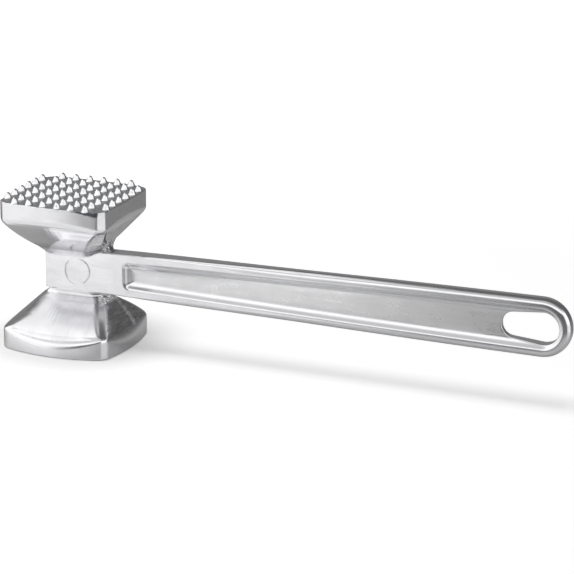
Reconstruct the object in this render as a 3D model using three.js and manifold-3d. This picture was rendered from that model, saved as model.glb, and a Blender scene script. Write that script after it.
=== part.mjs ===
import * as THREE from "three";
import { mergeVertices } from "three/addons/utils/BufferGeometryUtils.js";
import Module from "manifold-3d";

// Two-faced meat mallet, cast in one piece of polished aluminium.
// X runs along the handle, Z is up, the smooth face rests on Z = 0 around the origin.
// Each mesh is one natural region of the casting and meets its neighbours face to face.

const wasm = await Module();
wasm.setup();

// Head
const toothBedHeight = 69.4;
const plateThickness = 5.6;
const creaseRise = 9.6;

// Toothed face: half sizes at the corners, the swell of the sides between them, the corner cuts
const upperCornerX = 26.35;
const upperCornerY = 25.2;
const upperSwellX = 0.4;
const upperSwellY = 1.4;
const upperCornerCut = 3.4;

// Smooth face
const lowerCornerX = 26.2;
const lowerCornerY = 24.4;
const lowerSwellX = 2.8;
const lowerSwellY = 4.2;
const lowerCornerCut = 2.7;

// Softening of the edge between the wall and the taper
const edgeBlendMiddle = 4.4;
const edgeBlendCorner = 1.2;

// Handle
const handleAxisHeight = 34.8;
const handleEnd = 235.5;
const handleRootHalfHeight = 9.92;
const handleEndHalfHeight = 13.3;
const handleThickness = 8;
const rootEdgeDepth = 0.8;
const gripEdgeDepth = 3.9;
const gripEdgeReach = 3.3;
const rimWidth = 3.9;
const recessStart = 26.4;
const recessCornerOuter = 2.8;
const recessCornerInner = 0.9;
const recessSlopeWidth = 3.2;
const webThickness = 3;
const webHalfHeight = 3.2;
const railStart = 34;
const railEnd = 200;

// Foot of each taper: how far it lies from the edge of the handle, its half sizes there,
// its corner cuts, and how far the taper's sides swell between its corners and half way up
const upperFootGap = 0.18;
const upperFootLeft = 17.1;
const upperFootRight = 15;
const upperFootSide = 7.7;
const upperFootCutLeft = 3;
const upperFootCutRight = 6.2;
const upperTaperSwell = 0.2;
const upperTaperBulge = 0.8;
const upperLeftBulge = 1;
const lowerFootGap = 3.68;
const lowerFootLeft = 16.3;
const lowerFootRight = 17.7;
const lowerFootSide = 7;
const lowerFootCutLeft = 2.4;
const lowerFootCutRight = 3.8;
const lowerFootCutBackRight = 0.5;
const lowerTaperSwell = 1.7;
const lowerTaperBulge = 1.2;
const lowerLeftBulge = 0.1;

// Neck between the feet, the fillets that lead from it to the tapers,
// and how far the feet are carried on inside it
const neckLeft = 13.1;
const neckRight = 21;
const neckCorner = 0.35;
const upperNeckBlend = 1.2;
const lowerNeckBlend = 3;
const handleFilletRadius = 3;
const footReach = 6;

// Round witness mark on the front of the neck
const markAlong = 3.2;
const markDrop = 0.5;
const markRadius = 6.4;
const markWidth = 0.5;
const markDepth = 0.25;

// Teeth
const toothPitchX = 7;
const toothPitchY = 6.85;
const toothBaseRadius = 2.05;
const toothHeight = 2.9;
const toothSink = 0.3;

// Hang hole
const holeStart = 204.2;
const holeEnd = 230.3;
const holeSmallRadius = 5.7;
const holeLargeRadius = 7.1;
const holeDrop = 0.2;

// One overrun serves every cut, and a foot ends this far inside the neck
const overrun = 1;
const skin = 0.02;

// Counts
const toothRows = 8;
const toothSides = 10;
const sideSteps = 8;
const footSteps = 8;
const edgeSteps = 4;
const railSteps = 18;
const endSteps = 14;
const cornerSteps = 4;
const holeSteps = 24;
const markSides = 36;

// Shares of the way from the crease to the foot, below nought on the wall
const taperShares = [1, 0.9, 0.8, 0.7, 0.5, 0.3, 0.18, 0.09, 0, -0.08, -0.16];
// Shape of a tooth: radius and height as shares of its base radius and height
const toothRadiusShares = [1, 0.74, 0.48, 0.26];
const toothHeightShares = [0, 0.42, 0.8, 0.95];
// Side of the recess: inset as a share of the slope width, depth as a share of the recess depth
const recessInsetShares = [0, 0.74, 0.9, 1];
const recessDepthShares = [0, 0.84, 0.96, 1];
// How fast the handle grows toward its end, and where its edges are fully round
const handleGrowthPower = 1.5;
const roundEdgeShare = 0.5;

const handleHalf = handleThickness / 2;
const rootTop = handleAxisHeight + handleRootHalfHeight;
const rootBottom = handleAxisHeight - handleRootHalfHeight;
const webHalf = webThickness / 2;

const mix = (a, b, share) => a + (b - a) * share;
const clampShare = (share) => Math.min(Math.max(share, 0), 1);
const smooth = (share) => share * share * (3 - 2 * share);

// The smaller of two distances, with the corner between them softened over a reach.
function softMin(a, b, reach) {
  const blend = Math.max(reach - Math.abs(a - b), 0) / reach;
  return Math.min(a, b) - (blend * blend * reach) / 4;
}

const softMax = (a, b, reach) => -softMin(-a, -b, reach);

// A closed body from points and triangles, turned so that its faces point out.
function bodyOf(points, triangles) {
  let volume = 0;
  for (const [a, b, c] of triangles) {
    const cross = new THREE.Vector3().crossVectors(points[b], points[c]);
    volume += points[a].dot(cross);
  }
  const index = triangles.flatMap(([a, b, c]) => (volume < 0 ? [a, c, b] : [a, b, c]));
  const geometry = new THREE.BufferGeometry().setFromPoints(points);
  geometry.setIndex(index);
  return geometry;
}

// A body that passes through closed rings of equal count, capped at both ends.
function loft(rings) {
  const count = rings[0].length;
  const points = rings.flat();
  const triangles = [];
  for (let row = 0; row + 1 < rings.length; row += 1) {
    for (let column = 0; column < count; column += 1) {
      const next = (column + 1) % count;
      const a = row * count + column;
      const b = row * count + next;
      const c = a + count;
      const d = b + count;
      triangles.push([a, b, d], [a, d, c]);
    }
  }
  for (const row of [0, rings.length - 1]) {
    const middle = new THREE.Vector3();
    rings[row].forEach((point) => middle.add(point));
    middle.divideScalar(count);
    const centre = points.push(middle) - 1;
    for (let column = 0; column < count; column += 1) {
      const a = row * count + column;
      const b = row * count + ((column + 1) % count);
      triangles.push(row === 0 ? [centre, b, a] : [centre, a, b]);
    }
  }
  return bodyOf(points, triangles);
}

// Geometry to solid and back, for joins and cuts.
function toSolid(geometry) {
  const bare = geometry.clone();
  bare.deleteAttribute("normal");
  bare.deleteAttribute("uv");
  const merged = mergeVertices(bare);
  return new wasm.Manifold(
    new wasm.Mesh({
      numProp: 3,
      vertProperties: new Float32Array(merged.attributes.position.array),
      triVerts: new Uint32Array(merged.index.array),
    }),
  );
}

function toGeometry(solid) {
  const mesh = solid.getMesh();
  const geometry = new THREE.BufferGeometry();
  geometry.setAttribute("position", new THREE.BufferAttribute(mesh.vertProperties, 3));
  geometry.setIndex(new THREE.BufferAttribute(mesh.triVerts, 1));
  return geometry;
}

function boxBetween(low, high) {
  const size = new THREE.Vector3().subVectors(high, low);
  const middle = new THREE.Vector3().addVectors(low, high).multiplyScalar(0.5);
  const geometry = new THREE.BoxGeometry(size.x, size.y, size.z);
  geometry.translate(middle.x, middle.y, middle.z);
  return geometry;
}

// Where the right side of a taper lies at a level, with the fillet to the handle's edge.
function rightOfTaper(head, share) {
  const line = mix(head.cornerX, head.footRight, share);
  const gap = head.rootRise - mix(creaseRise, head.footRise, share);
  const shareAtRoot = shareAtRise(head, head.rootRise);
  const sharp = mix(head.cornerX, head.footRight, shareAtRoot);
  const lean = Math.atan2(head.footRise - creaseRise, head.cornerX - head.footRight);
  const centre = sharp + handleFilletRadius / Math.tan(lean / 2);
  if (gap <= 0) return centre;
  if (gap >= handleFilletRadius * (1 + Math.cos(lean))) return line;
  return centre - Math.sqrt(handleFilletRadius ** 2 - (handleFilletRadius - gap) ** 2);
}

// One level of a head: a rounded square with swelling sides and cut corners.
// Past the foot its sides come down to the neck and stay just inside it.
function headRing(head, share) {
  const rise = mix(creaseRise, head.footRise, share);
  const z = head.faceHeight + head.direction * rise;
  const inside = handleHalf - skin;
  const fade = 1 - clampShare(share);
  const fullness = 4 * fade * Math.max(share, 0);
  const straightLeft = mix(head.cornerX, head.footLeft, share) + head.leftBulge * fullness;
  const lineLeft = Math.max(straightLeft, neckLeft - skin);
  const lineRight = mix(head.cornerX, head.footRight, share);
  const rightEdge = rightOfTaper(head, share);
  const straightSide = mix(head.cornerY, head.footSide, share) + head.taperBulge * fullness;
  const lineSide = softMax(straightSide, inside, head.neckBlend);
  const cuts = head.footCuts.map((cut) => Math.min(mix(cut, head.cornerCut, fade), lineSide));
  const [cutFrontLeft, cutFrontRight, cutBackRight, cutBackLeft] = cuts;
  const left = softMin(head.cornerX, lineLeft, edgeBlendCorner);
  const right = softMin(head.cornerX, lineRight, edgeBlendCorner);
  const side = softMin(head.cornerY, lineSide, edgeBlendCorner);
  const reachAt = (t) => mix(edgeBlendCorner, edgeBlendMiddle, 1 - t * t);
  const points = [];
  const add = (x, y) => points.push(new THREE.Vector3(x, y, z));
  for (let step = 0; step <= sideSteps; step += 1) {
    const t = mix(-1, 1, step / sideSteps);
    const wall = head.cornerY + head.swellY * (1 - t * t);
    const y = -softMin(wall, lineSide, reachAt(t));
    add(mix(cutFrontLeft - left, right - cutFrontRight, (t + 1) / 2), y);
  }
  for (let step = 0; step <= sideSteps; step += 1) {
    const t = mix(-1, 1, step / sideSteps);
    const wall = head.cornerX + head.swellX * (1 - t * t);
    const taper = rightEdge + head.taperSwell * fade * (1 - t * t);
    const y = mix(cutFrontRight - side, side - cutBackRight, (t + 1) / 2);
    add(softMin(wall, taper, reachAt(t)), y);
  }
  for (let step = 0; step <= sideSteps; step += 1) {
    const t = mix(1, -1, step / sideSteps);
    const wall = head.cornerY + head.swellY * (1 - t * t);
    const y = softMin(wall, lineSide, reachAt(t));
    add(mix(cutBackLeft - left, right - cutBackRight, (t + 1) / 2), y);
  }
  for (let step = 0; step <= sideSteps; step += 1) {
    const t = mix(1, -1, step / sideSteps);
    const wall = head.cornerX + head.swellX * (1 - t * t);
    const taper = lineLeft + head.taperSwell * fade * (1 - t * t);
    const y = mix(cutFrontLeft - side, side - cutBackLeft, (t + 1) / 2);
    add(-softMin(wall, taper, reachAt(t)), y);
  }
  return points;
}

// The share at which a ring lies at a given rise.
function shareAtRise(head, rise) {
  return (rise - creaseRise) / (head.footRise - creaseRise);
}

function makeTaper(head) {
  const seam = shareAtRise(head, plateThickness);
  return loft([...taperShares, seam].map((share) => headRing(head, share)));
}

function makePlate(head) {
  const seam = shareAtRise(head, plateThickness);
  const face = shareAtRise(head, 0);
  return loft([headRing(head, seam), headRing(head, face)]);
}

const upperHead = {
  faceHeight: toothBedHeight,
  direction: -1,
  cornerX: upperCornerX,
  cornerY: upperCornerY,
  swellX: upperSwellX,
  swellY: upperSwellY,
  cornerCut: upperCornerCut,
  taperSwell: upperTaperSwell,
  neckBlend: upperNeckBlend,
  footRise: toothBedHeight - rootTop - upperFootGap,
  rootRise: toothBedHeight - rootTop,
  footLeft: upperFootLeft,
  footRight: upperFootRight,
  footSide: upperFootSide,
  footCuts: [upperFootCutLeft, upperFootCutRight, upperFootCutRight, upperFootCutLeft],
  taperBulge: upperTaperBulge,
  leftBulge: upperLeftBulge,
};

const lowerHead = {
  faceHeight: 0,
  direction: 1,
  cornerX: lowerCornerX,
  cornerY: lowerCornerY,
  swellX: lowerSwellX,
  swellY: lowerSwellY,
  cornerCut: lowerCornerCut,
  taperSwell: lowerTaperSwell,
  neckBlend: lowerNeckBlend,
  footRise: rootBottom - lowerFootGap,
  rootRise: rootBottom,
  footLeft: lowerFootLeft,
  footRight: lowerFootRight,
  footSide: lowerFootSide,
  footCuts: [lowerFootCutLeft, lowerFootCutRight, lowerFootCutBackRight, lowerFootCutLeft],
  taperBulge: lowerTaperBulge,
  leftBulge: lowerLeftBulge,
};

// One blunt tooth, standing on the bed and sunk a little into it.
function makeTooth() {
  const profile = [new THREE.Vector2(0, -toothSink)];
  profile.push(new THREE.Vector2(toothBaseRadius, -toothSink));
  toothRadiusShares.forEach((share, k) => {
    const height = toothHeight * toothHeightShares[k];
    profile.push(new THREE.Vector2(toothBaseRadius * share, height));
  });
  profile.push(new THREE.Vector2(0, toothHeight));
  const tooth = new THREE.LatheGeometry(profile, toothSides);
  tooth.rotateX(Math.PI / 2);
  return tooth;
}

// The toothed face: eight rows of teeth each way, without the four at the corners.
function makeToothedFace() {
  let face = toSolid(makePlate(upperHead));
  const last = toothRows - 1;
  for (let i = 0; i < toothRows; i += 1) {
    for (let j = 0; j < toothRows; j += 1) {
      if ((i === 0 || i === last) && (j === 0 || j === last)) continue;
      const tooth = makeTooth();
      const x = (i - last / 2) * toothPitchX;
      const y = (j - last / 2) * toothPitchY;
      tooth.translate(x, y, toothBedHeight);
      face = face.add(toSolid(tooth));
    }
  }
  return toGeometry(face);
}

// The part of a head between its foot and the place where it has sunk into the neck.
function makeFoot(head) {
  const end = shareAtRise(head, head.rootRise + footReach);
  const shares = [];
  for (let step = 0; step <= footSteps; step += 1) {
    shares.push(mix(1, end, step / footSteps));
  }
  return loft(shares.map((share) => headRing(head, share)));
}

// The neck: a plate as thick as the handle, with small cuts on its two far corners.
function makeNeckPlate() {
  const outline = [
    [neckCorner - neckLeft, -handleHalf],
    [neckRight, -handleHalf],
    [neckRight, handleHalf],
    [neckCorner - neckLeft, handleHalf],
    [-neckLeft, handleHalf - neckCorner],
    [-neckLeft, neckCorner - handleHalf],
  ];
  const level = (z) => outline.map(([x, y]) => new THREE.Vector3(x, y, z));
  return loft([level(rootBottom), level(rootTop)]);
}

function makeNeck() {
  const mark = new THREE.LatheGeometry(
    [
      new THREE.Vector2(markRadius - markWidth, -markDepth),
      new THREE.Vector2(markRadius, -markDepth),
      new THREE.Vector2(markRadius, markDepth),
      new THREE.Vector2(markRadius - markWidth, markDepth),
      new THREE.Vector2(markRadius - markWidth, -markDepth),
    ],
    markSides,
  );
  mark.translate(markAlong, -handleHalf, handleAxisHeight - markDrop);
  const neck = toSolid(makeNeckPlate())
    .add(toSolid(makeFoot(upperHead)))
    .add(toSolid(makeFoot(lowerHead)))
    .subtract(toSolid(mark));
  return toGeometry(neck);
}

// Half the height of the handle at a place along it.
const endCentre = handleEnd - handleEndHalfHeight;

function handleShare(x) {
  return clampShare((x - neckRight) / (endCentre - neckRight));
}

function handleHalfHeight(x) {
  const growth = 1 - (1 - handleShare(x)) ** handleGrowthPower;
  return mix(handleRootHalfHeight, handleEndHalfHeight, growth);
}

// Places along the straight part of the handle, from a start to the centre of its round end.
function alongHandle(start) {
  const places = [];
  for (let step = 0; step <= railSteps; step += 1) {
    places.push(mix(start, endCentre, step / railSteps));
  }
  return places;
}

// One level of the handle's outer shape, from square edges at the neck to round ones at the grip.
function blankRing(turn, side) {
  const points = [];
  const levelY = (x) => {
    const round = smooth(clampShare(handleShare(x) / roundEdgeShare));
    const reach = mix(rootEdgeDepth, gripEdgeReach, round);
    return side * (handleHalf - reach + reach * Math.sin(turn));
  };
  const insetAt = (x) => {
    const round = smooth(clampShare(handleShare(x) / roundEdgeShare));
    return mix(rootEdgeDepth, gripEdgeDepth, round) * (1 - Math.cos(turn));
  };
  const places = alongHandle(neckRight);
  for (const x of places) {
    const z = handleAxisHeight + handleHalfHeight(x) - insetAt(x);
    points.push(new THREE.Vector3(x, levelY(x), z));
  }
  const endRadius = handleEndHalfHeight - insetAt(endCentre);
  for (let step = 1; step < endSteps; step += 1) {
    const angle = Math.PI / 2 - (Math.PI * step) / endSteps;
    const x = endCentre + endRadius * Math.cos(angle);
    const z = handleAxisHeight + endRadius * Math.sin(angle);
    points.push(new THREE.Vector3(x, levelY(endCentre), z));
  }
  for (const x of places.reverse()) {
    const z = handleAxisHeight - handleHalfHeight(x) + insetAt(x);
    points.push(new THREE.Vector3(x, levelY(x), z));
  }
  return points;
}

function makeBlank() {
  const turns = [];
  for (let step = 0; step <= edgeSteps; step += 1) {
    turns.push((Math.PI / 2) * (step / edgeSteps));
  }
  const front = [...turns].reverse().map((turn) => blankRing(turn, -1));
  const back = turns.map((turn) => blankRing(turn, 1));
  return loft([...front, ...back]);
}

// One level of the recess, with square-cornered start and round end.
function recessRing(inset, corner, y) {
  const points = [];
  const left = recessStart + inset;
  const edgeAt = (x) => handleHalfHeight(x) - rimWidth - inset;
  const cornerX = left + corner;
  const cornerZ = edgeAt(cornerX) - corner;
  const add = (x, z) => points.push(new THREE.Vector3(x, y, handleAxisHeight + z));
  for (let step = 0; step < cornerSteps; step += 1) {
    const angle = Math.PI - (Math.PI / 2) * (step / cornerSteps);
    add(cornerX + corner * Math.cos(angle), cornerZ + corner * Math.sin(angle));
  }
  const places = alongHandle(cornerX);
  for (const x of places) add(x, edgeAt(x));
  const endRadius = edgeAt(endCentre);
  for (let step = 1; step < endSteps; step += 1) {
    const angle = Math.PI / 2 - (Math.PI * step) / endSteps;
    add(endCentre + endRadius * Math.cos(angle), endRadius * Math.sin(angle));
  }
  for (const x of places.reverse()) add(x, -edgeAt(x));
  for (let step = 1; step <= cornerSteps; step += 1) {
    const angle = -Math.PI / 2 - (Math.PI / 2) * (step / cornerSteps);
    add(cornerX + corner * Math.cos(angle), -cornerZ + corner * Math.sin(angle));
  }
  return points;
}

function makeRecess(side) {
  const depth = handleHalf - webHalf;
  const rings = [recessRing(0, recessCornerOuter, side * (handleHalf + overrun))];
  recessInsetShares.forEach((share, k) => {
    const inset = recessSlopeWidth * share;
    const corner = mix(recessCornerOuter, recessCornerInner, share);
    rings.push(recessRing(inset, corner, side * (handleHalf - depth * recessDepthShares[k])));
  });
  return loft(rings);
}

// The egg-shaped hang hole, as a prism right through the handle.
function makeHole() {
  const smallX = holeStart + holeSmallRadius;
  const largeX = holeEnd - holeLargeRadius;
  const lean = Math.asin((holeLargeRadius - holeSmallRadius) / (largeX - smallX));
  const outline = [];
  const addArc = (x, radius, from, to) => {
    for (let step = 0; step <= holeSteps / 2; step += 1) {
      const angle = mix(from, to, (step * 2) / holeSteps);
      outline.push([x + radius * Math.cos(angle), radius * Math.sin(angle)]);
    }
  };
  addArc(largeX, holeLargeRadius, -Math.PI / 2 - lean, Math.PI / 2 + lean);
  addArc(smallX, holeSmallRadius, Math.PI / 2 + lean, (3 * Math.PI) / 2 - lean);
  const height = handleAxisHeight - holeDrop;
  const level = (y) => outline.map(([x, z]) => new THREE.Vector3(x, y, height + z));
  return loft([level(-handleHalf - overrun), level(handleHalf + overrun)]);
}

const handleSolid = toSolid(makeBlank())
  .subtract(toSolid(makeRecess(-1)))
  .subtract(toSolid(makeRecess(1)))
  .subtract(toSolid(makeHole()));

// A region of the handle between two places along it and two heights.
function handleRegion(fromX, toX, fromZ, toZ) {
  const low = new THREE.Vector3(fromX, -handleHalf - overrun, fromZ);
  const high = new THREE.Vector3(toX, handleHalf + overrun, toZ);
  return toGeometry(handleSolid.intersect(toSolid(boxBetween(low, high))));
}

const handleTop = handleAxisHeight + handleEndHalfHeight + overrun;
const handleBottom = handleAxisHeight - handleEndHalfHeight - overrun;
const webTop = handleAxisHeight + webHalfHeight;
const webBottom = handleAxisHeight - webHalfHeight;

const mallet = new THREE.Group();

function addPiece(name, geometry, color, roughness) {
  const material = new THREE.MeshStandardMaterial({ color, roughness, metalness: 1 });
  const piece = new THREE.Mesh(geometry, material);
  piece.name = name;
  mallet.add(piece);
}

addPiece("toothed_face", makeToothedFace(), 0xd9dadc, 0.3);
addPiece("upper_taper", makeTaper(upperHead), 0xcfd1d4, 0.22);
addPiece("neck_block", makeNeck(), 0xd4d5d8, 0.28);
addPiece("lower_taper", makeTaper(lowerHead), 0xcfd1d4, 0.2);
addPiece("smooth_face", makePlate(lowerHead), 0xd2d3d6, 0.24);
const rootRegion = handleRegion(neckRight, railStart, handleBottom, handleTop);
addPiece("handle_root", rootRegion, 0xd4d5d8, 0.28);
const upperRail = handleRegion(railStart, railEnd, webTop, handleTop);
addPiece("handle_upper_rail", upperRail, 0xc9cbcf, 0.24);
const web = handleRegion(railStart, railEnd, webBottom, webTop);
addPiece("handle_web", web, 0xc6c8cc, 0.32);
const lowerRail = handleRegion(railStart, railEnd, handleBottom, webBottom);
addPiece("handle_lower_rail", lowerRail, 0xc9cbcf, 0.24);
const loop = handleRegion(railEnd, handleEnd + overrun, handleBottom, handleTop);
addPiece("hang_loop", loop, 0xc2c4c8, 0.24);

export default mallet;
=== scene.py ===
import math

import bmesh
import bpy
import numpy as np
from mathutils import Matrix, Vector


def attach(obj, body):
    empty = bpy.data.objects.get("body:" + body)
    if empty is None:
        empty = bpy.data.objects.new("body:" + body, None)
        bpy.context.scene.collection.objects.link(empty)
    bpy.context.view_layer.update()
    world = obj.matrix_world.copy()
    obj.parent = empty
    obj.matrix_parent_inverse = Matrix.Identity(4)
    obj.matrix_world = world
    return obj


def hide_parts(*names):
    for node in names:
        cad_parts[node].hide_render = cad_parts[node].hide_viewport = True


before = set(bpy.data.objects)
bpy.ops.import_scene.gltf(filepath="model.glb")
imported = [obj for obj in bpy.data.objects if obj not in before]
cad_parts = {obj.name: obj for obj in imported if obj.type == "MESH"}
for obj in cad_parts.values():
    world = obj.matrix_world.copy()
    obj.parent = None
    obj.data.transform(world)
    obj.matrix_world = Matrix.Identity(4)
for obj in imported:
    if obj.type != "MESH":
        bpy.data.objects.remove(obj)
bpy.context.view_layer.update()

mm = 0.001
scene = bpy.context.scene
scene.view_settings.view_transform = "Standard"
print("solids loaded")


# One node with its settings, and its inputs as values or links
def addNode(tree, kind, inputs=None, **settings):
    made = tree.nodes.new(kind)
    for name, value in settings.items():
        setattr(made, name, value)
    for name, value in (inputs or {}).items():
        socket = made.inputs[name]
        if isinstance(value, bpy.types.NodeSocket):
            tree.links.new(value, socket)
        else:
            socket.default_value = value
    return made


def maths(tree, operation, a, b=0.0, c=0.0):
    return addNode(tree, "ShaderNodeMath", {0: a, 1: b, 2: c}, operation=operation).outputs[0]


def minus(tree, a, b):
    return maths(tree, "SUBTRACT", a, b)


# a times b, and c on top
def timesPlus(tree, a, b, c):
    return maths(tree, "MULTIPLY_ADD", a, b, c)


def product(tree, value, *others):
    for other in others:
        value = maths(tree, "MULTIPLY", value, other)
    return value


# A length or a dot product comes out of the second socket
def vectorMaths(tree, operation, a, b=(0, 0, 0), scale=1.0):
    made = addNode(tree, "ShaderNodeVectorMath", {0: a, 1: b, 3: scale}, operation=operation)
    return made.outputs[1 if operation in ("DISTANCE", "DOT_PRODUCT", "LENGTH") else 0]


def splitVector(tree, vector):
    return addNode(tree, "ShaderNodeSeparateXYZ", {0: vector}).outputs


def joinVector(tree, x, y, z):
    return addNode(tree, "ShaderNodeCombineXYZ", {0: x, 1: y, 2: z}).outputs[0]


def ramp(tree, value, low, high, toLow=0.0, toHigh=1.0, kind="SMOOTHSTEP"):
    ends = {"Value": value, "From Min": low, "From Max": high, "To Min": toLow, "To Max": toHigh}
    return addNode(tree, "ShaderNodeMapRange", ends, interpolation_type=kind).outputs[0]


def noise(tree, place, size, detail, roughness=0.5):
    made = addNode(tree, "ShaderNodeTexNoise", {
        "Vector": place, "Scale": size, "Detail": detail, "Roughness": roughness})
    return made.outputs["Fac"]


def bump(tree, height, distance, **below):
    return addNode(tree, "ShaderNodeBump", {"Height": height, "Distance": distance, **below}).outputs[0]


def mixTone(tree, factor, first, second):
    return addNode(tree, "ShaderNodeMix", {0: factor, 6: first, 7: second}, data_type="RGBA").outputs[2]


# A node group with its named sockets, and what comes in through them
def newGroup(name, kind, inputs, outputs):
    tree = bpy.data.node_groups.new(name, kind)
    for way, sockets in (("INPUT", inputs), ("OUTPUT", outputs)):
        for socket, sort in sockets.items():
            tree.interface.new_socket(socket, in_out=way, socket_type="NodeSocket" + sort)
    return tree, addNode(tree, "NodeGroupInput").outputs


def emptyTree(owner):
    owner.use_nodes = True
    owner.node_tree.nodes.clear()
    return owner.node_tree


# Sizes of the head in millimetres, from the solids, and its softened creases and corners
neck = {
    "axisHeight": 34.8, "halfHeight": 9.92, "halfThick": 4.0, "edgeRound": 0.8,
    "left": 13.1, "right": 21.0, "filletRadius": 3.0, "footReach": 6.0,
    "markAlong": 3.2, "markHeight": 34.3, "markRadius": 6.15, "markWidth": 0.85, "markDepth": 0.4,
}
upperHead = {
    "face": 69.4, "way": -1, "faceEdge": 0.4, "bevel": 2.3, "bevelLean": 0.22,
    "cornerX": 26.35, "cornerY": 25.2, "swellX": 0.4, "swellY": 1.4,
    "cornerCut": 3.4, "taperSwell": 0.2, "neckBlend": 1.2, "footGap": 0.18,
    "footLeft": 17.1, "footRight": 15.0, "footSide": 7.7, "bulge": 0.8, "leftBulge": 1.0,
    # at the front left, front right, back right and back left corner
    "cuts": (3.0, 6.2, 6.2, 3.0), "midCuts": (0, 0.4, 0.4, 0), "soft": (1.4, 0.9, 0.9, 1.4),
    "creaseMiddle": 3.4,
}
lowerHead = {
    "face": 0.0, "way": 1, "faceEdge": 0.8, "bevel": 0.0, "bevelLean": 0.0,
    "cornerX": 26.2, "cornerY": 24.4, "swellX": 2.8, "swellY": 4.2,
    "cornerCut": 2.7, "taperSwell": 1.7, "neckBlend": 1.3, "footGap": 3.68,
    "footLeft": 16.3, "footRight": 17.7, "footSide": 7.0, "bulge": 1.2, "leftBulge": 0.1,
    "cuts": (3.0, 3.8, 0.5, 3.0), "midCuts": (2.6, 0, 0, 2.6), "soft": (3.6, 1.1, 0.9, 3.6),
    "creaseMiddle": 4.6,
}
casting = {
    "grid": 0.5, "netLow": (-31, -31, -1.25), "netHigh": (29.5, 31, 70.75),
    "creaseRise": 9.6, "cornerBlend": 1.2, "frontBlend": 2.2, "wallEdge": 0.9,
    "bevelFrom": 9, "bevelRun": 14, "neckJoin": 0.12, "skin": 0.02,
    # the faces cut finer round the ring mark, the part that the end plane cuts, and the faces of the bed
    "markFront": -3, "markReach": 0.9, "markCuts": 4, "endAcross": 5, "endUp": 11,
    "bedBelow": 0.25, "bedUpright": 0.7,
}


def blendMin(a, b, reach):
    near = np.maximum(reach - np.abs(a - b), 0) / reach
    return np.minimum(a, b) - near * near * reach / 4


def blendMax(a, b, reach):
    return -blendMin(-a, -b, reach)


def between(a, b, share):
    return a + (b - a) * share


# How far a point lies outside the flared body of a head, with its striking plate
def headDepth(x, y, z, head):
    rootRise = abs(head["face"] - (neck["axisHeight"] - head["way"] * neck["halfHeight"]))
    footRise = rootRise - head["footGap"]
    rise = (z - head["face"]) * head["way"]
    crease = casting["creaseRise"]
    share = (rise - crease) / (footRise - crease)
    fade = 1 - np.clip(share, 0, 1)
    fullness = 4 * fade * np.maximum(share, 0)
    inside = neck["halfThick"] - casting["skin"]
    lineLeft = between(head["cornerX"], head["footLeft"], share) + head["leftBulge"] * fullness
    lineLeft = np.maximum(lineLeft, neck["left"] - casting["skin"])
    lineRight = between(head["cornerX"], head["footRight"], share)
    # the fillet from the right side to the edge of the handle
    radius = neck["filletRadius"]
    gap = rootRise - between(crease, footRise, share)
    shareAtRoot = (rootRise - crease) / (footRise - crease)
    sharp = between(head["cornerX"], head["footRight"], shareAtRoot)
    lean = math.atan2(footRise - crease, head["cornerX"] - head["footRight"])
    centre = sharp + radius / math.tan(lean / 2)
    arc = centre - np.sqrt(np.maximum(radius ** 2 - np.clip(radius - gap, 0, radius) ** 2, 0))
    rightEdge = np.where(gap >= radius * (1 + math.cos(lean)), lineRight, arc)
    rightEdge = np.where(gap <= 0, centre, rightEdge)
    straightSide = between(head["cornerY"], head["footSide"], share) + head["bulge"] * fullness
    lineSide = blendMax(straightSide, inside, head["neckBlend"])
    corner = casting["cornerBlend"]
    left = blendMin(head["cornerX"], lineLeft, corner)
    right = blendMin(head["cornerX"], lineRight, corner)
    side = blendMin(head["cornerY"], lineSide, corner)
    cuts = [np.minimum(between(foot, head["cornerCut"], fade) + middle * fullness, lineSide)
            for foot, middle in zip(head["cuts"], head["midCuts"])]
    frontLeft, frontRight, backRight, backLeft = cuts

    # how far outside one side, which swells in its middle and meets the taper in a soft crease
    def sideOut(distance, place, low, high, wall, swell, line, lineSwell, atCorner):
        t = np.clip((place - (low + high) / 2) / np.maximum((high - low) / 2, 1), -1, 1)
        crown = 1 - t * t
        reach = between(atCorner, head["creaseMiddle"], crown)
        return distance - blendMin(wall + swell * crown, line + lineSwell * crown, reach)

    start = np.where(y < 0, frontLeft, backLeft) - left
    end = right - np.where(y < 0, frontRight, backRight)
    # a hand-ground bevel along the top of the wall, wider toward the right corner
    toCorner = np.clip((x - casting["bevelFrom"]) / casting["bevelRun"], 0, 1)
    bevel = np.maximum(head["bevel"] * toCorner - rise, 0) * head["bevelLean"]
    frontBack = sideOut(np.abs(y) + bevel, x, start, end, head["cornerY"], head["swellY"],
                        lineSide, 0, casting["frontBlend"])
    swell = head["taperSwell"] * fade
    rightOut = sideOut(x, y, frontRight - side, side - backRight, head["cornerX"], head["swellX"],
                       rightEdge, swell, corner)
    leftOut = sideOut(-x, y, frontLeft - side, side - backLeft, head["cornerX"], head["swellX"],
                      lineLeft, swell, corner)
    edge = casting["wallEdge"]
    out = blendMax(frontBack, blendMax(rightOut, leftOut, edge), edge)
    cornerRight = blendMin(head["cornerX"], rightEdge, corner)
    for cut, softness, alongX, alongY in zip(cuts, head["soft"], (-1, 1, 1, -1), (-1, -1, 1, 1)):
        reachX = right if alongX > 0 else left
        wide = (cornerRight if alongX > 0 else left) - reachX + cut
        cutOut = (alongX * x - (reachX - cut)) * cut + (alongY * y - side) * wide
        soft = between(softness, edge, np.clip(fade * 2 - 1, 0, 1))
        out = blendMax(out, cutOut / np.hypot(cut, wide), soft)
    out = blendMax(out, -rise, head["faceEdge"])
    return np.maximum(out, rise - rootRise - neck["footReach"])


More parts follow.
